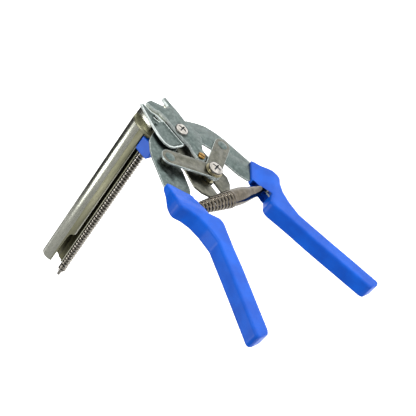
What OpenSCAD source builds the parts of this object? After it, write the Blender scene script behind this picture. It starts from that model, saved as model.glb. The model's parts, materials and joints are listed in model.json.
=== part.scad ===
// Clip pliers with a side magazine: two spring-opened handles on one pivot screw, a toggle
// knee that runs in a slotted guide plate, and a long channel that feeds wire clips to the nose.
// X points to the nose tip, Z to the upper handle, Y from the screw heads to the magazine.
// The origin is the seat of the wire notch, on the notch's centre line.

/* [Main layout] */
// Main pivot, measured from the guide line's zero
pivot_x = 23; // [22.5:0.1:23.5]
// Knee screw at rest
knee_x = -10.2; // [-10.5:0.1:-10]
// Guide bush
bush_x = 2; // [1.5:0.1:2.5]
// Link rivet, along X
rivet_x = 6.4; // [6:0.1:6.8]
// Link rivet, out from the centre line
rivet_z = 26.2; // [25.8:0.1:26.6]
// Far end of the grips
grip_end_x = -117.4; // [-120:0.2:-112]
// Nose tip
tip_x = 48.4; // [48:0.1:49]

/* [Wire notch] */
// Centre of the notch's round bottom, along X
notch_x = 42.7; // [42:0.1:43]
// Centre of the notch's round bottom, along Z
notch_z = -2.7; // [-3:0.1:-2.4]
// Radius of the notch's round bottom
notch_r = 2.5; // [2.3:0.1:2.6]

/* [Magazine] */
// Axis of the channel's round crown, along X
mag_x = 40.9; // [40.5:0.1:41.2]
// Axis of the channel's round crown, along Z
mag_z = 13.8; // [13.5:0.1:14]
// Lean of the magazine towards the handles, in degrees
mag_lean = 3.4; // [0:0.1:4]
// Outer radius of the channel's crown
mag_r = 6.2; // [6:0.1:6.4]
// Length of the channel behind the bracket
mag_len = 126.2; // [110:0.2:130]
// Sheet thickness of the channel
mag_wall = 0.9; // [0.7:0.1:1]
// Half the clear width between the channel's legs
mag_neck = 3.9; // [3.9:0.05:4.2]
// Rod's distance from the crown's axis
rod_off = 12.6; // [12.4:0.1:13.2]
// Free length of the rod beyond the channel
rod_tail = 6; // [4:0.5:8]

/* [Plates] */
// Thickness of the front plate
front_t = 2.2; // [1.8:0.1:2.6]
// Thickness of each handle sheet
handle_t = 1.3; // [1.2:0.05:1.3]
// Thickness of each link
link_t = 1.4; // [1.2:0.05:1.4]
// Play between stacked plates
play = 0.2; // [0.15:0.05:0.2]

/* [Fasteners] */
// Radius of the main pivot shank
pivot_r = 2.5; // [2:0.1:2.6]
// Radius of the knee screw shank
knee_r = 2.2; // [2:0.1:2.2]
// Radius of the link rivets
rivet_r = 2; // [1.6:0.1:2.2]
// Running clearance on radius for the pivots
run = 0.05; // [0.02:0.01:0.08]

/* [Grips] */
// Depth of each grip along Y
grip_d = 11.2; // [10.6:0.2:12]
// Front face of the grips, along Y
grip_y0 = -6.8; // [-7:0.1:-6.4]
// Edge rounding of the grips
grip_c = 2; // [1:0.1:2.2]

/* [Springs] */
// Largest radius of the double volute spring
volute_r = 5.8; // [5:0.1:6]
// Outer radius of the magazine spring
mag_spring_r = 2.7; // [2.4:0.1:2.8]

/* [Hidden] */
$fn = 64;

zinc = "#9aa5a3";
zinc_light = "#b7bdb6";
steel = "#c9c6ba";
blue = "#2f76e0";
brass = "#c8a032";
spring_steel = "#7c7468";

// plate levels along Y, from the screw heads to the magazine
front_y1 = -1.2;
front_y0 = front_y1 - front_t;
side_t = 1.4;
lower_y = front_y1 + play;
upper_y = lower_y + handle_t + play;
guide_y0 = upper_y + handle_t + play;
guide_y1 = guide_y0 + 1.3;
blade_y0 = guide_y1 + play;
blade_y1 = blade_y0 + 0.7;
bracket_y0 = blade_y1 + play;
bracket_y1 = bracket_y0 + 1.4;
lower_link_y = lower_y - 0.3 - link_t;
upper_link_y = lower_link_y - play - link_t;
link_w = 5.6;
fit = 0.02;

grip_y1 = grip_y0 + grip_d;
grip_mid = (grip_y0 + grip_y1) / 2;
lobe_r = 8.6;
seat_x = -29.8;
seat_z = 35.7;
link_bore_r = knee_r + 0.75;

rod_r = 1.2;
pusher_y0 = 3.6;
pusher_len = 10.4;
spring_y0 = pusher_y0 + pusher_len + 0.1;
spring_y1 = mag_len - 0.1;

// moves the drawing's zero to the seat of the wire notch
module placed()
  translate([notch_r - notch_x, 0, -notch_z]) children();

// extrudes an [along, across] outline from y0 to y1
module plate(y0, y1)
  translate([0, y1, 0]) rotate([90, 0, 0]) linear_extrude(y1 - y0) children();

// a cylinder along Y
module pin(x, z, r, y0, y1, sides = $fn)
  translate([x, y1, z]) rotate([90, 0, 0]) cylinder(r = r, h = y1 - y0, $fn = sides);

// mirrors the upper handle's shapes to the lower side
module lower() mirror([0, 0, 1]) children();

// a bar with round ends between two points
module bar(a, b, w) {
  d = b - a;
  len = norm(d);
  translate(a) circle(w);
  translate(b) circle(w);
  translate(a) rotate(atan2(d[1], d[0])) translate([0, -w]) square([len, 2 * w]);
}

// pan head with a cross recess, its seat at y and its top towards -Y
module pan_head(x, z, r, h, y) {
  translate([x, y, z]) rotate([90, 0, 0]) difference() {
    union() {
      cylinder(r = r, h = h * 0.55);
      translate([0, 0, h * 0.55]) intersection() {
        cylinder(r = r, h = h * 0.45);
        translate([0, 0, h * 0.45 - r * 2.1]) sphere(r * 2.1);
      }
    }
    for (a = [20, 110])
      rotate(a) translate([-r * 0.62, -r * 0.11, h * 0.42]) cube([r * 1.24, r * 0.22, h]);
  }
}

// domed rivet head, its seat at y, towards -Y when side is 1 and +Y when side is -1
module dome(x, z, r, h, y, side = 1) {
  R = (r * r + h * h) / (2 * h);
  translate([x, y, z]) rotate([90 * side, 0, 0]) intersection() {
    cylinder(r = r, h = h);
    translate([0, 0, h - R]) sphere(R);
  }
}

// ---- frame ----

// straight-sided notch with a round bottom, open at the tip
module notch_cut(extra = 0) {
  translate([notch_x, notch_z]) circle(notch_r + extra);
  translate([notch_x, notch_z - notch_r - extra]) square([10, 2 * (notch_r + extra)]);
}

module front_outline() difference() {
  union() {
    polygon([
      [tip_x, 6.2], [tip_x - 0.5, 10.6], [41.3, 8.1], [39.4, 5.6], [32.3, 4.3], [17.3, 3.2],
      [11.3, 1.9], [7.3, 3], [bush_x, 3.4], [bush_x, -3.4], [5.8, -5.2], [9.8, -8], [13.8, -11.6],
      [17.5, -12.8], [23.5, -10.4], [30, -8.9], [37, -9], [41.8, -8.2], [tip_x, -7.7]
    ]);
    translate([bush_x, 0]) circle(3.4);
  }
  notch_cut();
  polygon([[notch_x, notch_z + 2.4], [tip_x + 2, 8.4], [tip_x + 2, notch_z], [notch_x, notch_z]]);
}

module front_plate() color(zinc) placed() difference() {
  plate(front_y0, front_y1) front_outline();
  pin(pivot_x, 0, pivot_r + fit, front_y0 - 1, front_y1 + 1);
  pin(bush_x, 0, 1.6 + fit, front_y0 - 1, front_y1 + 1);
}

module side_outline() polygon([
  [tip_x - 0.8, 12.9], [tip_x - 0.2, 15.4], [43.8, 16.5], [38.6, 17.7], [30.2, 19.2], [21.7, 20.3],
  [17.4, 19.9], [14.4, 18.2], [12.7, 15.1], [12.4, 7], [13.4, 5.4], [16.8, 5.9], [31.9, 7.4],
  [37.7, 9], [40.4, 11.4]
]);

module side_cheek() color(zinc) placed() difference() {
  plate(front_y1 - side_t, front_y1) side_outline();
  plate(front_y1 - 5, front_y1 + 1) polygon([[33, 9], [37.2, 10], [38.8, 12], [36, 12.8], [33, 11.4]]);
  for (x = [32, 43.4]) pin(x, 14.6, 1 + fit, front_y1 - 5, front_y1 + 1);
}

module cheek_rivets() color(zinc) placed() for (x = [32, 43.4])
  pin(x, 14.6, 1, front_y1 - side_t, front_y1 + 0.8);

module nose_outline() difference() {
  polygon([
    [32.4, -8], [32.4, 16.6], [38.6, 16.8], [43.8, 15.8], [tip_x - 1.2, 14.6], [tip_x - 1.2, 6],
    [45.2, 4], [45.2, -7.4], [41, -7.8]
  ]);
  notch_cut(0.15);
}

module nose_block() color(steel) placed() difference() {
  plate(front_y1, blade_y1 + play) nose_outline();
  clip_slot(front_y1 - 1, blade_y1 + 1);
  for (x = [32, 43.4]) pin(x, 14.6, 1 + fit, front_y1 - 1, front_y1 + 0.8);
}

// slot that the clips pass through, beside the wire notch
module clip_slot(y0, y1) translate([35.2, y0, 8.9]) cube([6, y1 - y0, 5.2]);

module guide_outline() difference() {
  polygon([
    [-23.2, 9.6], [-19, 13.8], [-13.6, 16], [-2, 13.8], [9, 12.8], [16.6, 8.4], [27, 8.4],
    [31, 4.2], [31, -4.2], [27, -8.4], [16.6, -8.4], [9, -12.8], [-2, -13.8], [-13.6, -16],
    [-19, -13.8], [-23.2, -9.6]
  ]);
  translate([knee_x + 1.5, 0]) circle(knee_r + 0.1);
  translate([-30, -knee_r - 0.1]) square([31.5 + knee_x, 2 * knee_r + 0.2]);
}

module guide_plate() color(zinc_light) placed() difference() {
  plate(guide_y0, guide_y1) guide_outline();
  pin(pivot_x, 0, pivot_r + fit, guide_y0 - 1, guide_y1 + 1);
  pin(bush_x, 0, 1.6 + fit, guide_y0 - 1, guide_y1 + 1);
}

module bracket_outline() difference() {
  polygon([
    [14.6, -6], [14.6, 6.4], [20, 13], [26, 17], [32, 20.2], [40, 20.8], [45, 18.8], [tip_x - 1, 14],
    [tip_x - 1, 6], [45.2, 4], [45.2, -7.4], [41, -8.2], [30, -8.4], [20, -7.6]
  ]);
  notch_cut(0.15);
}

module magazine_bracket() color(zinc_light) placed() difference() {
  plate(bracket_y0, bracket_y1) bracket_outline();
  clip_slot(blade_y1 - 1, bracket_y1 + 1);
  pin(pivot_x, 0, pivot_r + fit, bracket_y0 - 1, bracket_y1 + 1);
  mag() pin(-rod_off, 0, rod_r + fit, -4, 3);
}

module main_pivot_screw() color(steel) placed() {
  pan_head(pivot_x, 0, 4.5, 2, front_y0);
  pin(pivot_x, 0, pivot_r, front_y0, bracket_y1 + 3.4);
}

module main_pivot_nut() color(steel) placed() difference() {
  pin(pivot_x, 0, 4.04, bracket_y1, bracket_y1 + 2.8, 6);
  pin(pivot_x, 0, pivot_r + fit, bracket_y1 - 1, bracket_y1 + 4);
}

module guide_bush() color(brass) placed() {
  difference() {
    pin(bush_x, 0, 2.4, front_y0 - 1, front_y0);
    plate(front_y0 - 2, front_y0 - 0.5)
      translate([bush_x, 0]) rotate(35) square([6, 0.8], center = true);
  }
  pin(bush_x, 0, 1.6, front_y0, guide_y1 + 0.8);
  difference() {
    pin(bush_x, 0, 2.8, front_y1, guide_y0);
    pin(bush_x, 0, 1.6, front_y1 - 1, guide_y0 + 1);
  }
}

// ---- magazine, drawn along its own axis ----

// puts a magazine piece on the bracket, with the lean
module mag()
  translate([mag_x, bracket_y1, mag_z]) rotate([0, 0, mag_lean]) children();

module channel_outline() {
  inner = mag_r - mag_wall;
  difference() {
    union() {
      circle(mag_r);
      translate([-8, -mag_neck - mag_wall]) square([8, 2 * (mag_neck + mag_wall)]);
    }
    circle(inner);
    translate([-8 + mag_wall, -mag_neck]) square([8, 2 * mag_neck]);
    translate([-9, -2.4]) square([3, 4.8]);
  }
}

module magazine_channel() color(steel) placed() difference() {
  mag() difference() {
    plate(-2, mag_len) channel_outline();
    // the upper leg is cut back near the far end
    translate([0, 0, 2.3]) linear_extrude(5) polygon([
      [-9, mag_len - 30], [-7, mag_len - 29.2], [-5.4, mag_len - 27], [-4.7, mag_len - 22],
      [-4.5, mag_len - 9], [-4.4, mag_len + 1], [-9, mag_len + 1]
    ]);
  }
  translate([mag_x - 20, bracket_y1 - 10, mag_z - 10]) cube([40, 10, 20]);
}

module spring_rod() color(steel) placed() {
  difference() {
    mag() pin(-rod_off, 0, rod_r, -3, mag_len + rod_tail);
    translate([0, bracket_y0 - 10, 0]) cube([60, 10, 30]);
  }
  difference() {
    mag() pin(-rod_off, 0, 2.4, -2, 2.2);
    mag() pin(-rod_off, 0, rod_r, -3, 3);
    translate([0, bracket_y1 - 10, 0]) cube([60, 10, 30]);
  }
}

module rod_stop() color(steel) placed() mag() difference() {
  union() {
    pin(-rod_off, 0, 2.7, mag_len, mag_len + 0.8);
    pin(-rod_off, 0, 1.9, mag_len + 0.8, mag_len + 2.6);
  }
  pin(-rod_off, 0, rod_r + fit, mag_len - 1, mag_len + 4);
}

module magazine_spring() color(spring_steel) placed() mag() difference() {
  pin(-rod_off, 0, mag_spring_r, spring_y0, spring_y1);
  pin(-rod_off, 0, mag_spring_r - 1, spring_y0 - 1, spring_y1 + 1);
}

module pusher_slide() color(steel) placed() mag() {
  r = mag_r - mag_wall - 0.3;
  plate(1, 9) union() {
    circle(r);
    translate([-6.6, 0.3 - mag_neck]) square([6.6, 2 * (mag_neck - 0.3)]);
  }
  translate([-10.4, pusher_y0, -2]) cube([4, 5.4, 4]);
}

module pusher_outline() polygon([
  [-8.4, pusher_y0], [-8.4, pusher_y0 + pusher_len], [-18.2, pusher_y0 + pusher_len],
  [-19.6, pusher_y0 + 8], [-18.4, pusher_y0]
]);

module pusher_grip() color(blue) placed() mag() difference() {
  translate([0, 0, -3.9]) linear_extrude(7.8) pusher_outline();
  translate([-10.42, pusher_y0 - 1, -2.02]) cube([3, 6.42, 4.04]);
  pin(-rod_off, 0, rod_r + run, pusher_y0 - 1, pusher_y0 + pusher_len + 1);
}

// ---- handles, drawn for the upper side ----

module handle_outline() {
  translate([pivot_x, 0]) circle(lobe_r);
  polygon([
    [30.6, 4], [30.2, 13.8], [26.8, 21], [23.4, 26.2], [17, 31], [11, 34.2], [2, 37.4], [-7.8, 41],
    [-13, 41.4], [-19, 44.2], [-24, 46.4], [-28.4, 46.2], [-32.8, 42.6], [-38, 39.9], [-46, 38.4],
    [-56, 38.4], [-66, 42], [-76, 45.8], [-96, 53.6], [-106, 57.6], [-106, 51.8], [-96, 47.9],
    [-76, 39.8], [-64, 35.6], [-54, 31.8], [-47, 29], [-43, 29.2], [-38.6, seat_z],
    [-22.2, seat_z], [-21, 27.6], [-15.4, 23.4], [-8.4, 20.6], [-3, 18.6], [6.2, 17.4],
    [11.2, 13.4], [15.2, 5]
  ]);
}

module handle(y) difference() {
  plate(y, y + handle_t) handle_outline();
  pin(pivot_x, 0, pivot_r + run, y - 1, y + 3);
  pin(rivet_x, rivet_z, rivet_r + fit, y - 1, y + 3);
}

module grip_outline(d = 0) offset(delta = -d) polygon([
  [-9, 41.2], [-11, 43], [-15.6, 44.6], [-22, 48.1], [-26, 49.3], [-28.6, 49], [-32.2, 45.6],
  [-38, 42.5], [-46, 40.9], [-56, 40.9], [-66, 44.8], [-76, 48.5], [-96, 56.3],
  [grip_end_x + 2.8, 63.8], [grip_end_x + 1, 63.4], [grip_end_x, 61.5], [grip_end_x, 54.4],
  [grip_end_x + 2.2, 52.4], [-96, 45], [-76, 36.9], [-64, 32.8], [-54, 28.9], [-47, 26],
  [-44, 25.4], [-41.4, 25.9], [-39.4, 28.4], [-37, 31], [-26, 28.6], [-21.6, 29.2]
]);

// the grip's slabs, drawn in step by step towards both faces
module grip_body() {
  steps = 4;
  for (i = [0 : steps - 1]) {
    a = 90 * (i + 0.5) / steps;
    drop = grip_c * (1 - cos(a - 45 / steps));
    plate(grip_y0 + drop, grip_y1 - drop) grip_outline(grip_c * (1 - sin(a + 45 / steps)));
  }
}

module grip(y) difference() {
  grip_body();
  plate(y - fit, y + handle_t + fit) {
    handle_outline();
    translate([0, 0.03]) handle_outline();
    translate([0, -0.03]) handle_outline();
  }
  translate([seat_x - 7, grip_mid - 5, 20]) cube([14, 10, seat_z - 20]);
  translate([seat_x, grip_mid, seat_z - 1]) cylinder(r = 3.42, h = 2.6);
}

module spring_seat(y) difference() {
  translate([seat_x, grip_mid, seat_z]) union() {
    cylinder(r = 3.4, h = 1.5);
    translate([0, 0, -5]) cylinder(r = 2, h = 5.5);
  }
  translate([seat_x - 5, y - fit, seat_z - 0.01]) cube([10, grip_y1 - y, 3]);
}

module link_rivet(link_y, y) {
  dome(rivet_x, rivet_z, 3.4, 0.8, link_y);
  pin(rivet_x, rivet_z, rivet_r, link_y, y + handle_t);
  dome(rivet_x, rivet_z, 3.2, 0.8, y + handle_t, -1);
}

module link(y) difference() {
  plate(y, y + link_t) bar([rivet_x, rivet_z], [knee_x, 0], link_w);
  pin(rivet_x, rivet_z, rivet_r + run, y - 1, y + link_t + 1);
  pin(knee_x, 0, link_bore_r, y - 1, y + link_t + 1);
}

module upper_handle() color(zinc) placed() handle(upper_y);
module upper_grip() color(blue) placed() grip(upper_y);
module upper_spring_seat() color(steel) placed() spring_seat(upper_y);
module upper_link_rivet() color(zinc) placed() link_rivet(upper_link_y, upper_y);
module upper_link_spacer() color(zinc_light) placed() difference() {
  pin(rivet_x, rivet_z, 4.2, upper_link_y + link_t + 0.05, upper_y);
  pin(rivet_x, rivet_z, rivet_r + fit, upper_link_y, upper_y + 1);
}

module lower_handle() color(zinc) placed() lower() handle(lower_y);
module lower_grip() color(blue) placed() lower() grip(lower_y);
module lower_spring_seat() color(steel) placed() lower() spring_seat(lower_y);
module lower_link_rivet() color(zinc) placed() lower() link_rivet(lower_link_y, lower_y);

module upper_link() color(zinc_light) placed() link(upper_link_y);
module lower_link() color(zinc_light) placed() lower() link(lower_link_y);

// ---- knee and driver ----

washer_y1 = upper_link_y - 0.1;

module knee_screw() color(steel) placed() {
  pan_head(knee_x, 0, 4.8, 2.4, washer_y1 - 1.4);
  pin(knee_x, 0, knee_r, washer_y1 - 1.4, blade_y1 + 4.2);
}

module knee_washers() color(zinc_light) placed() difference() {
  union() {
    pin(knee_x, 0, 5.6, washer_y1 - 0.7, washer_y1);
    pin(knee_x, 0, 5.2, washer_y1 - 1.4, washer_y1 - 0.75);
  }
  pin(knee_x, 0, knee_r + fit, washer_y1 - 3, washer_y1 + 1);
}

module knee_spacer() color(steel) placed() difference() {
  pin(knee_x, 0, 4.6, lower_link_y + link_t + 0.1, guide_y0 - 0.1);
  pin(knee_x, 0, knee_r + fit, lower_link_y, guide_y0);
}

module knee_nut() color(steel) placed() difference() {
  union() {
    pin(knee_x, 0, 4.6, blade_y1, blade_y1 + 0.8);
    pin(knee_x, 0, 4.04, blade_y1 + 0.8, blade_y1 + 3.6, 6);
  }
  pin(knee_x, 0, knee_r + fit, blade_y1 - 1, blade_y1 + 5);
}

module blade_outline() difference() {
  bar([knee_x, 0], [27, 0], 4.8);
  bar([bush_x, 0], [bush_x + 13.4, 0], 1.9);
  bar([pivot_x, 0], [pivot_x + 13.4, 0], pivot_r + 0.2);
}

module driver_blade() color(spring_steel) placed() difference() {
  plate(blade_y0, blade_y1) blade_outline();
  pin(knee_x, 0, knee_r + fit, blade_y0 - 1, blade_y1 + 1);
}

module return_spring() color(spring_steel) placed() translate([seat_x, grip_mid, 0])
  rotate_extrude() polygon([
    [2.3, -35.6], [3.3, -35.6], [volute_r, -4], [volute_r, 4], [3.3, 35.6], [2.3, 35.6],
    [volute_r - 1.2, 4], [volute_r - 1.2, -4]
  ]);

front_plate();
side_cheek();
nose_block();
guide_plate();
magazine_bracket();
main_pivot_screw();
main_pivot_nut();
guide_bush();
cheek_rivets();
magazine_channel();
spring_rod();
rod_stop();
upper_handle();
upper_grip();
upper_spring_seat();
upper_link_rivet();
upper_link_spacer();
lower_handle();
lower_grip();
lower_spring_seat();
lower_link_rivet();
upper_link();
lower_link();
knee_screw();
knee_washers();
knee_spacer();
knee_nut();
driver_blade();
pusher_slide();
pusher_grip();
magazine_spring();
return_spring();
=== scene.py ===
import bpy
import bmesh
import json
import math
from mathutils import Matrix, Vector, noise


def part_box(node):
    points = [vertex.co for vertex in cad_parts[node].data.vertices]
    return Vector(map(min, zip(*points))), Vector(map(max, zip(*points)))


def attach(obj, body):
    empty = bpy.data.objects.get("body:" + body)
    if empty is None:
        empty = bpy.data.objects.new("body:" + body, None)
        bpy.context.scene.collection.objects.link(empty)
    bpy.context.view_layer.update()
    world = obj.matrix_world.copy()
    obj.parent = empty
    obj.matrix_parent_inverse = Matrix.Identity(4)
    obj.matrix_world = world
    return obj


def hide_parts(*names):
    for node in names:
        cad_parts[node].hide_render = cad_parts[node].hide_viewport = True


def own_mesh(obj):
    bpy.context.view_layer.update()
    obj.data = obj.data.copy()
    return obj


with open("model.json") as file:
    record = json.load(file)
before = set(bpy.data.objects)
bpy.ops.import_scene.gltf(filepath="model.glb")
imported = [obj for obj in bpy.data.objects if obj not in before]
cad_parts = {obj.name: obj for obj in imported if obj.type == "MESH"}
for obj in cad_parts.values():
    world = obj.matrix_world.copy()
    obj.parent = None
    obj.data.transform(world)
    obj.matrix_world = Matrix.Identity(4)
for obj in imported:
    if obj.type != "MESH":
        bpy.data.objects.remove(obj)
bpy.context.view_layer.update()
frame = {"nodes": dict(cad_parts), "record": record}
mm = 0.001


def srgb(hexColour):
    # sRGB hex to linear RGBA
    def toLinear(c):
        return c / 12.92 if c <= 0.04045 else ((c + 0.055) / 1.055) ** 2.4
    digits = hexColour.lstrip("#")
    return tuple(toLinear(int(digits[i:i + 2], 16) / 255) for i in (0, 2, 4)) + (1.0,)


def addNode(tree, kind, settings=None, **links):
    # a setting is a ramp's stops, a socket's value or a property of the node
    # a link is socket=(node, output)
    node = tree.nodes.new(kind)
    for key, value in (settings or {}).items():
        if key == "stops":
            elements = node.color_ramp.elements
            while len(elements) < len(value):
                elements.new(0.5)
            for element, (position, colour) in zip(elements, value):
                element.position = position
                element.color = colour
        elif key in node.inputs:
            node.inputs[key].default_value = value
        else:
            setattr(node, key, value)
    for key, (source, output) in links.items():
        tree.links.new(source.outputs[output], node.inputs[key])
    return node


def newMaterial(name):
    mat = bpy.data.materials.new(name)
    mat.use_nodes = True
    tree = mat.node_tree
    tree.nodes.clear()
    shader = addNode(tree, "ShaderNodeBsdfPrincipled")
    addNode(tree, "ShaderNodeOutputMaterial", Surface=(shader, "BSDF"))
    return mat, tree, shader


black = (0.0, 0.0, 0.0, 1)
white = (1.0, 1.0, 1.0, 1)


def metalMaterial(name, s):
    # three tints in soft patches, and one grain for speckle, roughness and bump
    # real plating is finer than this grain, which is drawn coarse enough to show
    mat, tree, shader = newMaterial(name)
    coords = addNode(tree, "ShaderNodeTexCoord")
    place = addNode(tree, "ShaderNodeMapping", {"Scale": s.get("stretch", (1, 1, 1))},
                    Vector=(coords, "Object"))
    patches = addNode(tree, "ShaderNodeTexNoise",
                      {"Scale": 1 / (s["patchMm"] * mm), "Detail": 5.0, "Roughness": 0.6},
                      Vector=(place, "Vector"))
    tints = [(0.3, srgb(s["dark"])), (0.52, srgb(s["mid"])), (0.75, srgb(s["light"]))]
    tint = addNode(tree, "ShaderNodeValToRGB", {"stops": tints}, Fac=(patches, "Fac"))
    grain = addNode(tree, "ShaderNodeTexNoise",
                    {"Scale": 1 / (s["grainMm"] * mm), "Detail": 3.0, "Roughness": 0.65},
                    Vector=(place, "Vector"))
    rough = addNode(tree, "ShaderNodeMapRange",
                    {"From Min": 0.3, "From Max": 0.7, "To Min": s["rough"][0], "To Max": s["rough"][1]},
                    Value=(grain, "Fac"))
    speck = addNode(tree, "ShaderNodeValToRGB", {"stops": [(0.42, black), (0.7, white)]}, Fac=(grain, "Fac"))
    fine = addNode(tree, "ShaderNodeMixRGB", {"blend_type": "OVERLAY", "Fac": s["speckle"]},
                   Color1=(tint, "Color"), Color2=(speck, "Color"))
    bump = addNode(tree, "ShaderNodeBump", {"Strength": s["bump"], "Distance": 0.05 * mm},
                   Height=(grain, "Fac"))
    tree.links.new(fine.outputs["Color"], shader.inputs["Base Color"])
    tree.links.new(rough.outputs["Result"], shader.inputs["Roughness"])
    tree.links.new(bump.outputs["Normal"], shader.inputs["Normal"])
    shader.inputs["Metallic"].default_value = s.get("metallic", 1.0)
    return mat


def vinylMaterial(name, s):
    # two close tints in broad clouds, with small pale scuffs
    # the grain, like the metal's, is drawn coarse enough to show
    mat, tree, shader = newMaterial(name)
    coords = addNode(tree, "ShaderNodeTexCoord")
    cloud = addNode(tree, "ShaderNodeTexNoise", {"Scale": 1 / (s["cloudMm"] * mm), "Detail": 3.0},
                    Vector=(coords, "Object"))
    tints = [(0.35, srgb(s["dark"])), (0.65, srgb(s["light"]))]
    tint = addNode(tree, "ShaderNodeValToRGB", {"stops": tints}, Fac=(cloud, "Fac"))
    scuff = addNode(tree, "ShaderNodeTexNoise",
                    {"Scale": 1 / (s["scuffMm"] * mm), "Detail": 6.0, "Roughness": 0.7},
                    Vector=(coords, "Object"))
    marks = addNode(tree, "ShaderNodeValToRGB", {"stops": [(0.66, black), (0.76, white)]}, Fac=(scuff, "Fac"))
    worn = addNode(tree, "ShaderNodeMixRGB", {"blend_type": "MIX", "Color2": srgb(s["scuff"])},
                   Fac=(marks, "Color"), Color1=(tint, "Color"))
    grain = addNode(tree, "ShaderNodeTexNoise", {"Scale": 1 / (s["grainMm"] * mm), "Detail": 4.0},
                    Vector=(coords, "Object"))
    rough = addNode(tree, "ShaderNodeMapRange",
                    {"From Min": 0.3, "From Max": 0.7, "To Min": s["rough"][0], "To Max": s["rough"][1]},
                    Value=(grain, "Fac"))
    bump = addNode(tree, "ShaderNodeBump", {"Strength": 0.18, "Distance": 0.12 * mm}, Height=(cloud, "Fac"))
    tree.links.new(worn.outputs["Color"], shader.inputs["Base Color"])
    tree.links.new(rough.outputs["Result"], shader.inputs["Roughness"])
    tree.links.new(bump.outputs["Normal"], shader.inputs["Normal"])
    shader.inputs["IOR"].default_value = 1.5
    shader.inputs["Specular IOR Level"].default_value = s["specular"]
    return mat


print("finishes")
zincSheet = metalMaterial("zincPlatedSheet", {  # cool grey-green, faintly mottled
    "dark": "#4a5451", "mid": "#5b6663", "light": "#717c79", "patchMm": 2.0, "grainMm": 0.32,
    "rough": (0.26, 0.40), "speckle": 0.16, "bump": 0.16})
zincEdgeHighlight = metalMaterial("paintedHighlightOnZincEdges", {  # painted highlight: the cut edges are drawn paler and brighter than the faces
    "dark": "#87928f", "mid": "#a5afac", "light": "#c9d0cd", "patchMm": 2.0, "grainMm": 0.3,
    "rough": (0.24, 0.36), "speckle": 0.12, "bump": 0.1, "metallic": 0.45})
zincRimHighlight = metalMaterial("paintedHighlightOnZincRims", {  # painted highlight: the nose's rims, the palest lines on the head
    "dark": "#a2acaa", "mid": "#c0c8c5", "light": "#dfe3e1", "patchMm": 2.0, "grainMm": 0.3,
    "rough": (0.28, 0.40), "speckle": 0.10, "bump": 0.08, "metallic": 0.25})
zincOlive = metalMaterial("agedZincSheet", {  # links and guide, the same sheet gone olive
    "dark": "#4d4e45", "mid": "#616158", "light": "#7b7a6e", "patchMm": 3.0, "grainMm": 0.35,
    "rough": (0.28, 0.42), "speckle": 0.16, "bump": 0.16})
nickelScrew = metalMaterial("nickelPlatedScrew", {  # sharp highlights against dark recesses
    "dark": "#85817a", "mid": "#a5a19a", "light": "#c4c0b9", "patchMm": 2.0, "grainMm": 0.4,
    "rough": (0.10, 0.20), "speckle": 0.10, "bump": 0.08})
yellowZinc = metalMaterial("yellowPassivatedZinc", {  # washers with a faint yellow cast
    "dark": "#767157", "mid": "#969075", "light": "#b5af94", "patchMm": 2.5, "grainMm": 0.4,
    "rough": (0.22, 0.36), "speckle": 0.15, "bump": 0.1})
brass = metalMaterial("turnedBrass", {  # the one warm spot on the head
    "dark": "#5c421c", "mid": "#93713a", "light": "#c4a466", "patchMm": 1.5, "grainMm": 0.3,
    "rough": (0.18, 0.30), "speckle": 0.15, "bump": 0.1})
crownNickel = metalMaterial("brushedNickelCrown", {  # long soft streaks along the channel
    "dark": "#a3a599", "mid": "#b9baae", "light": "#d0d1c6", "patchMm": 4.0, "grainMm": 0.3,
    "rough": (0.22, 0.32), "speckle": 0.12, "bump": 0.08, "stretch": (1.0, 0.1, 1.0)})
oliveNickelAndLegShade = metalMaterial("foldedNickelLegPaintedDarker", {  # duller and more olive than the crown; on the channel's leg this darker copy is painted shade
    "dark": "#65654f", "mid": "#7d7c64", "light": "#99977e", "patchMm": 5.0, "grainMm": 0.3,
    "rough": (0.3, 0.42), "speckle": 0.14, "bump": 0.1, "stretch": (1.0, 0.12, 1.0), "metallic": 0.7})
insideNickelShade = metalMaterial("roughNickelInsideShade", {  # painted shade: a darker olive copy for the channel's inside, and hardly shining
    "dark": "#45442f", "mid": "#605e47", "light": "#7c7a62", "patchMm": 5.0, "grainMm": 0.3,
    "rough": (0.4, 0.55), "speckle": 0.15, "bump": 0.12, "stretch": (1.0, 0.15, 1.0)})
stripSteel = metalMaterial("hardenedSpringStrip", {  # brown-grey with glints
    "dark": "#514b43", "mid": "#5f594f", "light": "#776f64", "patchMm": 3.0, "grainMm": 0.4,
    "rough": (0.08, 0.14), "speckle": 0.05, "bump": 0.02})
wireSteel = metalMaterial("drawnSpringWire", {  # dark gaps and bright crowns
    "dark": "#7f7a71", "mid": "#928d84", "light": "#a8a39a", "patchMm": 3.0, "grainMm": 0.4,
    "rough": (0.16, 0.26), "speckle": 0.08, "bump": 0.04})
darkSteelAndSlotShade = metalMaterial("blackenedSteelAndSlotShade", {  # the blade, and the driver slots as painted shade, nearly black
    "dark": "#222426", "mid": "#34373a", "light": "#4c5054", "patchMm": 2.5, "grainMm": 0.3,
    "rough": (0.3, 0.45), "speckle": 0.15, "bump": 0.1})
blueVinyl = vinylMaterial("dippedBlueVinyl", {  # satin and saturated
    "dark": "#004bb4", "light": "#0057c6", "scuff": "#1f6ad2", "cloudMm": 12.0, "scuffMm": 2.2,
    "grainMm": 0.5, "rough": (0.34, 0.46), "specular": 0.22})


def setMaterials(obj, *mats):
    obj.data.materials.clear()
    for mat in mats:
        obj.data.materials.append(mat)


def smoothAll(obj):
    for poly in obj.data.polygons:
        poly.use_smooth = True


def smoothByAngle(obj, degrees):
    smoothAll(obj)
    obj.data.set_sharp_from_angle(angle=math.radians(degrees))


def smoothStep(value):
    f = min(max(value, 0), 1)
    return f * f * (3 - 2 * f)


def applyModifiers(obj):
    deps = bpy.context.evaluated_depsgraph_get()
    baked = bpy.data.meshes.new_from_object(obj.evaluated_get(deps))
    obj.modifiers.clear()
    obj.data = baked


def standFor(obj, node):
    # the piece rides with the CAD node that it replaces
    for body, members in frame["record"]["behaviour"]["bodies"].items():
        if node in members:
            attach(obj, body)
    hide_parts(node)


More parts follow.
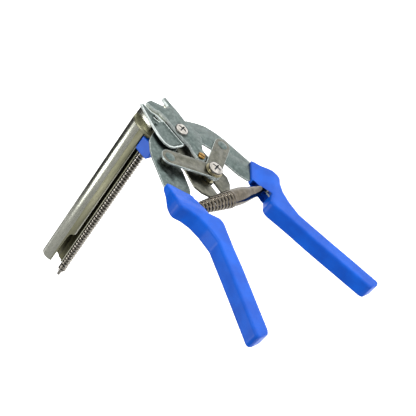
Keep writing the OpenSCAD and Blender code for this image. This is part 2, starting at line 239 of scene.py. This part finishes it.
def cleanCopy(node, name):
    # a welded copy of a CAD node with its flat faces joined again
    s = {"weldMm": 0.002, "flatDegrees": 1.0}
    data = frame["nodes"][node].data.copy()
    obj = bpy.data.objects.new(name, data)
    bpy.context.scene.collection.objects.link(obj)
    bm = bmesh.new()
    bm.from_mesh(data)
    bmesh.ops.remove_doubles(bm, verts=bm.verts, dist=s["weldMm"] * mm)
    bmesh.ops.dissolve_limit(bm, angle_limit=math.radians(s["flatDegrees"]), verts=bm.verts, edges=bm.edges)
    bmesh.ops.recalc_face_normals(bm, faces=bm.faces)
    bm.to_mesh(data)
    bm.free()
    return obj


def breakEdges(obj, widthMm, degrees):
    bevel = obj.modifiers.new("edges", "BEVEL")
    bevel.width = widthMm * mm
    bevel.segments = 2
    bevel.limit_method = "ANGLE"
    bevel.angle_limit = math.radians(degrees)
    applyModifiers(obj)


def roundOver(obj, voxelMm, passes):
    remesh = obj.modifiers.new("remesh", "REMESH")
    remesh.mode = "VOXEL"
    remesh.voxel_size = voxelMm * mm
    smooth = obj.modifiers.new("smooth", "SMOOTH")
    smooth.factor = 0.5
    smooth.iterations = passes
    applyModifiers(obj)


def edgedCopy(node, mat, slotName, widthMm, edgeHighlightMat=None):
    # the CAD shape with its edges broken, so that they catch the light
    s = {"bevelDegrees": 28, "sharpDegrees": 40, "faceNormal": 0.93}
    obj = cleanCopy(node, node + "_worn")
    breakEdges(obj, widthMm, s["bevelDegrees"])
    setMaterials(obj, mat)
    # painted highlight: the side faces take the paler edge finish
    if edgeHighlightMat:
        obj.data.materials.append(edgeHighlightMat)
        for poly in obj.data.polygons:
            poly.material_index = 1 if abs(poly.normal.y) < s["faceNormal"] else 0
    smoothByAngle(obj, s["sharpDegrees"])
    standFor(obj, node)
    return obj


print("sheet metal")
sheetPieces = {  # node: finish, slot, width of the broken edge in mm, finish of the edge, paler as a painted highlight
    "front_plate": (zincSheet, "zinc_plate", 0.32, zincRimHighlight),
    "upper_handle": (zincSheet, "zinc_plate", 0.22, zincEdgeHighlight),
    "lower_handle": (zincSheet, "zinc_plate", 0.22, zincEdgeHighlight),
    "guide_plate": (zincOlive, "zinc_link", 0.22),
    "magazine_bracket": (oliveNickelAndLegShade, "zinc_link", 0.22),
    "upper_link": (zincOlive, "zinc_link", 0.28, zincEdgeHighlight),
    "lower_link": (zincOlive, "zinc_link", 0.28, zincEdgeHighlight),
    "nose_block": (crownNickel, "nickel_channel", 0.25),
    "driver_blade": (darkSteelAndSlotShade, "spring_steel", 0.12),
}
for node, finish in sheetPieces.items():
    edgedCopy(node, *finish)


def dishedCheek():
    # the leaf-shaped cheek: a rolled rim round a dished face
    s = {"voxelMm": 0.22, "passes": 3, "rimMm": 0.8, "rampMm": 1.6, "depthMm": 0.8,
         "faceMm": 0.35, "rimFaceMm": 0.4, "shortestSideMm": 3.3}
    obj = cleanCopy("side_cheek", "side_cheek_dished")
    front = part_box("side_cheek")[0].y
    outline = []  # the leaf's own sides, which are all longer than those of its holes
    bm = bmesh.new()
    bm.from_mesh(obj.data)
    for e in bm.edges:
        fronts = [f for f in e.link_faces if f.normal.y < -0.9]
        if len(fronts) == 1 and max(v.co.y for v in e.verts) < front + 0.05 * mm:
            a, b = (v.co.copy() for v in e.verts)
            if (a - b).length > s["shortestSideMm"] * mm:
                outline.append((a.x, a.z, b.x, b.z))
    bm.free()

    def rimDistance(x, z):
        distances = []
        for ax, az, bx, bz in outline:
            dx, dz = bx - ax, bz - az
            k = min(max(((x - ax) * dx + (z - az) * dz) / (dx * dx + dz * dz), 0), 1)
            distances.append(math.hypot(x - ax - k * dx, z - az - k * dz))
        return min(distances)

    roundOver(obj, s["voxelMm"], s["passes"])
    for v in obj.data.vertices:
        if v.co.y < front + s["faceMm"] * mm:
            inside = rimDistance(v.co.x, v.co.z) - s["rimMm"] * mm
            v.co.y += s["depthMm"] * mm * smoothStep(inside / (s["rampMm"] * mm))
    setMaterials(obj, zincSheet, zincRimHighlight)
    smoothAll(obj)
    # painted highlight: faces on the rolled rim take the paler rim finish
    for poly in obj.data.polygons:
        c = poly.center
        outer = c.y < front + s["rimFaceMm"] * mm or abs(poly.normal.y) < 0.5
        poly.material_index = 1 if outer and rimDistance(c.x, c.z) < s["rimMm"] * mm else 0
    standFor(obj, "side_cheek")


dishedCheek()

print("fasteners")
fasteners = {  # node: finish, slot, width of the broken edge in mm
    "main_pivot_screw": (nickelScrew, "bright_screw", 0.16),
    "main_pivot_nut": (nickelScrew, "bright_screw", 0.2),
    "knee_screw": (nickelScrew, "bright_screw", 0.18),
    "knee_nut": (nickelScrew, "bright_screw", 0.2),
    "knee_spacer": (yellowZinc, "bright_screw", 0.15),
    "knee_washers": (yellowZinc, "zinc_link", 0.14),
    "upper_link_rivet": (zincSheet, "zinc_plate", 0.12),
    "lower_link_rivet": (zincSheet, "zinc_plate", 0.12),
    "upper_link_spacer": (zincOlive, "zinc_link", 0.15),
    "guide_bush": (brass, "brass", 0.12),
    "cheek_rivets": (zincSheet, "zinc_plate", 0.1),
    "upper_spring_seat": (nickelScrew, "bright_screw", 0.15),
    "lower_spring_seat": (nickelScrew, "bright_screw", 0.15),
    "spring_rod": (nickelScrew, "nickel_channel", 0.15),
    "rod_stop": (nickelScrew, "bright_screw", 0.2),
    "pusher_slide": (crownNickel, "nickel_channel", 0.2),
}
driverSlotShade = {  # node: reach from the axis, first and last depth behind the head's face, in mm
    "main_pivot_screw": (2.4, 0.3, 1.9),
    "knee_screw": (2.4, 0.3, 1.9),
    "guide_bush": (1.6, 0.15, 1.9),
}
for node, finish in fasteners.items():
    piece = edgedCopy(node, *finish)
    if node in driverSlotShade:  # painted shade: the slot's faces take the near-black finish, dark on a bright head
        reach, first, last = (value * mm for value in driverSlotShade[node])
        low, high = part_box(node)
        middle = (low + high) / 2
        piece.data.materials.append(darkSteelAndSlotShade)
        for poly in piece.data.polygons:
            c = poly.center
            inReach = math.hypot(c.x - middle.x, c.z - middle.z) < reach
            if inReach and first < c.y - low.y < last:
                poly.material_index = 1


print("magazine")
magazine = {"leanDegrees": 3.4, "startMm": (0.7, 5.8, 16.5), "lengthMm": 126.2, "rodMm": 12.6}
magLean = math.radians(magazine["leanDegrees"])
magAlong = Vector((-math.sin(magLean), math.cos(magLean), 0))
magSide = Vector((math.cos(magLean), math.sin(magLean), 0))
magStart = Vector(magazine["startMm"]) * mm
rodStart = magStart - magSide * magazine["rodMm"] * mm


def magazineChannel():
    # brushed crown, duller legs and a rougher inside; the legs and the inside take darker, more olive copies
    # of the crown's tint, painted shade
    s = {"edgeMm": 0.14, "edgeDegrees": 30, "legMm": 3.9, "innerNormal": -0.3}
    obj = cleanCopy("magazine_channel", "magazine_channel_worn")
    breakEdges(obj, s["edgeMm"], s["edgeDegrees"])
    setMaterials(obj, crownNickel, insideNickelShade, oliveNickelAndLegShade)
    # painted shade: inward faces take the dark inside copy, the leg the olive copy
    for poly in obj.data.polygons:
        c = poly.center - magStart
        x = c.dot(magSide)
        outward = Vector((0, 0, c.z)) + magSide * max(x, 0)
        if outward.length > 0 and poly.normal.dot(outward.normalized()) < s["innerNormal"]:
            poly.material_index = 1
        elif x < -s["legMm"] * mm:
            poly.material_index = 2
    smoothByAngle(obj, s["edgeDegrees"])
    standFor(obj, "magazine_channel")


magazineChannel()


def sweptPiece(name, rings, mat, degrees):
    # a closed tube through rings that all have the same number of points
    n, last = len(rings[0]), len(rings) - 1
    faces = [tuple(range(n))[::-1], tuple(range(last * n, last * n + n))]
    for i in range(last):
        for k in range(n):
            a, b = i * n + k, i * n + (k + 1) % n
            faces.append((a, b, b + n, a + n))
    data = bpy.data.meshes.new(name)
    data.from_pydata([point for ring in rings for point in ring], [], faces)
    data.validate()
    bm = bmesh.new()
    bm.from_mesh(data)
    bmesh.ops.recalc_face_normals(bm, faces=bm.faces)
    bm.to_mesh(data)
    bm.free()
    obj = bpy.data.objects.new(name, data)
    bpy.context.scene.collection.objects.link(obj)
    setMaterials(obj, mat)
    smoothByAngle(obj, degrees)
    return obj


def magazineSpring():
    # round wire wound on the feed rod, its last turns closed
    s = {"wireMm": 1.25, "outerMm": 5.36, "pitchMm": 2.5, "closedMm": 1.3, "closedTurns": 1.5,
         "startMm": 14.2, "endGapMm": 0.2, "stepsPerTurn": 24, "wireSides": 8, "keep": 0.48}
    end = (magazine["lengthMm"] - s["endGapMm"]) * mm
    coil = (s["outerMm"] - s["wireMm"]) / 2 * mm
    wire = s["wireMm"] / 2 * mm
    y = s["startMm"] * mm + wire
    turn = 0.0
    rings = []
    while y < end - wire:
        turnsLeft = (end - wire - y) / (s["closedMm"] * mm)
        closed = turn < s["closedTurns"] or turnsLeft < s["closedTurns"]
        a = 2 * math.pi * turn
        out = magSide * math.cos(a) + Vector((0, 0, math.sin(a)))
        middle = rodStart + magAlong * y + out * coil
        corners = [2 * math.pi * k / s["wireSides"] for k in range(s["wireSides"])]
        rings.append([middle + (out * math.cos(b) + magAlong * math.sin(b)) * wire for b in corners])
        turn += 1 / s["stepsPerTurn"]
        y += (s["closedMm"] if closed else s["pitchMm"]) * mm / s["stepsPerTurn"]
    obj = sweptPiece("magazine_spring_coil", rings, wireSteel, 60)
    standFor(obj, "magazine_spring")
    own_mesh(obj)


magazineSpring()


def returnSpring(side, key, s):
    # one wound strip, whose first turn lies flat on the other half
    low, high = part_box("return_spring")
    centre = (low + high) / 2
    width, sheet = s["widthMm"] * mm, s["sheetMm"] * mm
    travel = (high.z - low.z) / 2 - width
    count = int(s["turns"] * s["stepsPerTurn"])
    rings = []
    for i in range(count + 1):
        f = i / count
        a = 2 * math.pi * s["turns"] * f * side
        shrink = f ** 1.25
        r = (s["bigMm"] * (1 - shrink) + s["smallMm"] * shrink) * mm
        z0 = travel * max(s["turns"] * f - 1, 0) / (s["turns"] - 1)
        taper = (s["taperMm"][0] * (1 - f) + s["taperMm"][1] * f) * mm
        section = [  # radius and height of the strip's eight corners
            (r - sheet, 0.06), (r - sheet, 0.5), (r - sheet * 0.9 - taper * 0.3, 0.92),
            (r - sheet * 0.3 - taper * 0.3, 1), (r - taper * 0.2, 0.9),
            (r + sheet * 0.36, 0.55), (r + sheet * 0.32, 0.18), (r - sheet * 0.1, 0)]
        ring = []
        for radius, height in section:
            radius = min(radius, s["reachMm"] * mm)
            offset = (radius * math.cos(a), radius * math.sin(a), side * (z0 + width * height))
            ring.append(centre + Vector(offset))
        rings.append(ring)
    obj = sweptPiece("return_spring_" + key, rings, stripSteel, 40)
    standFor(obj, "return_spring")
    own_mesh(obj)


returnSpring(1, "upper", {  # tight stepped turns
    "turns": 12.5, "widthMm": 2.2, "bigMm": 5.5, "smallMm": 2.9, "taperMm": (0.35, 0.35),
    "sheetMm": 0.7, "reachMm": 5.79, "stepsPerTurn": 40, "keep": 0.52})
returnSpring(-1, "lower", {  # long overlapping turns
    "turns": 3.4, "widthMm": 16.0, "bigMm": 5.45, "smallMm": 2.75, "taperMm": (1.2, 0),
    "sheetMm": 0.7, "reachMm": 5.79, "stepsPerTurn": 40, "keep": 0.52})


print("grips")


def softGrip(node, side):
    # rounded all over, and thinned towards the steel at the open end
    s = {"voxelMm": 0.55, "passes": 7, "cornerMm": (-49.2, 41.2), "outward": (0.69, -0.724),
         "axisMm": 2.7, "taperMm": 15.0, "thin": 0.44, "middleMm": 0.2,
         "wobblesPerM": 90, "wobbleMm": 0.06}
    low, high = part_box(node)
    obj = cleanCopy(node, node + "_dipped")
    roundOver(obj, s["voxelMm"], s["passes"])
    corner = Vector((s["cornerMm"][0], 0, s["axisMm"] + side * s["cornerMm"][1])) * mm
    outward = Vector((s["outward"][0], 0, side * s["outward"][1]))
    middle, taper = s["middleMm"] * mm, s["taperMm"] * mm
    for v in obj.data.vertices:
        d = (v.co - corner).dot(outward)
        thickness = 1 - (1 - s["thin"]) * smoothStep((d + taper) / taper)
        v.co.y = middle + (v.co.y - middle) * thickness
        v.co.y += noise.noise(v.co * s["wobblesPerM"]) * s["wobbleMm"] * mm
        v.co = [min(max(v.co[i], low[i]), high[i]) for i in range(3)]
    setMaterials(obj, blueVinyl)
    smoothAll(obj)
    standFor(obj, node)


def pusherGrip():
    s = {"voxelMm": 0.35, "passes": 4}
    obj = cleanCopy("pusher_grip", "pusher_grip_moulded")
    roundOver(obj, s["voxelMm"], s["passes"])
    setMaterials(obj, blueVinyl)
    smoothAll(obj)
    standFor(obj, "pusher_grip")


softGrip("upper_grip", 1)
softGrip("lower_grip", -1)
pusherGrip()


print("studio")
studio = {"lookAt": (-0.06, 0.03, 0.0), "floorZ": -0.085, "floorSize": 6.0,
          "floorColour": (0.93, 0.93, 0.93, 1), "floorGlow": 0.9,
          "cardColour": (0.012, 0.012, 0.014, 1), "skyGlow": 0.55}
lookAt = Vector(studio["lookAt"])


def mattSheet(name, spot, size, colour, glow=0.0):
    # matt paper that isn't part of the tool
    mat, tree, shader = newMaterial(name + "Paper")
    shader.inputs["Base Color"].default_value = colour
    shader.inputs["Roughness"].default_value = 0.9
    shader.inputs["Emission Color"].default_value = white
    shader.inputs["Emission Strength"].default_value = glow
    bpy.ops.mesh.primitive_plane_add(size=size, location=spot)
    sheet = bpy.context.object
    sheet.name = name
    setMaterials(sheet, mat)
    return sheet


def darkCard(name, spot, size, flat=False):
    # a black card beside the tool gives bright metal its dark bands
    card = mattSheet(name, spot, 1.0, studio["cardColour"])
    card.scale = size + (1,)
    card.rotation_euler = (lookAt - Vector(spot)).to_track_quat("Z", "Y").to_euler()
    if flat:
        card.rotation_euler = (0, 0, math.atan2(spot[1], spot[0]))


def softLight(name, spot, size, power):
    data = bpy.data.lights.new(name, "AREA")
    data.shape = "RECTANGLE"
    data.size = size
    data.size_y = size
    data.energy = power
    lamp = bpy.data.objects.new(name, data)
    bpy.context.scene.collection.objects.link(lamp)
    lamp.location = spot
    lamp.rotation_euler = (lookAt - Vector(spot)).to_track_quat("-Z", "Y").to_euler()


def mainCamera():
    s = {"lens": 113.04, "sensor": 36.0, "near": 0.01, "far": 20.0,
         "spot": (-0.28262, -0.44137, 0.61123), "degrees": (-13.484, 37.815, -136.984)}
    data = bpy.data.cameras.new("mainView")
    data.lens = s["lens"]
    data.sensor_width = s["sensor"]
    data.clip_start = s["near"]
    data.clip_end = s["far"]
    cam = bpy.data.objects.new("mainView", data)
    bpy.context.scene.collection.objects.link(cam)
    cam.location = s["spot"]
    cam.rotation_euler = tuple(math.radians(a) for a in s["degrees"])
    bpy.context.scene.camera = cam


world = bpy.data.worlds.new("studio")
bpy.context.scene.world = world
world.use_nodes = True
world.node_tree.nodes["Background"].inputs["Color"].default_value = white
world.node_tree.nodes["Background"].inputs["Strength"].default_value = studio["skyGlow"]
bpy.context.scene.view_settings.view_transform = "Standard"

mattSheet("floor", (0, 0, studio["floorZ"]), studio["floorSize"], studio["floorColour"], studio["floorGlow"])
softLight("key", (0.30, -0.70, 0.60), 0.35, 5.0)
softLight("fill", (-0.75, -0.35, 0.3), 0.5, 1.6)
softLight("top", (0.32, 0.45, 0.68), 0.3, 2.5)
darkCard("sideFlag", (0.48, 0.30, 0.12), (0.36, 0.7))
darkCard("floorFlag", (0.368, 0.276, -0.08), (0.36, 0.5), flat=True)
mainCamera()

print("done")
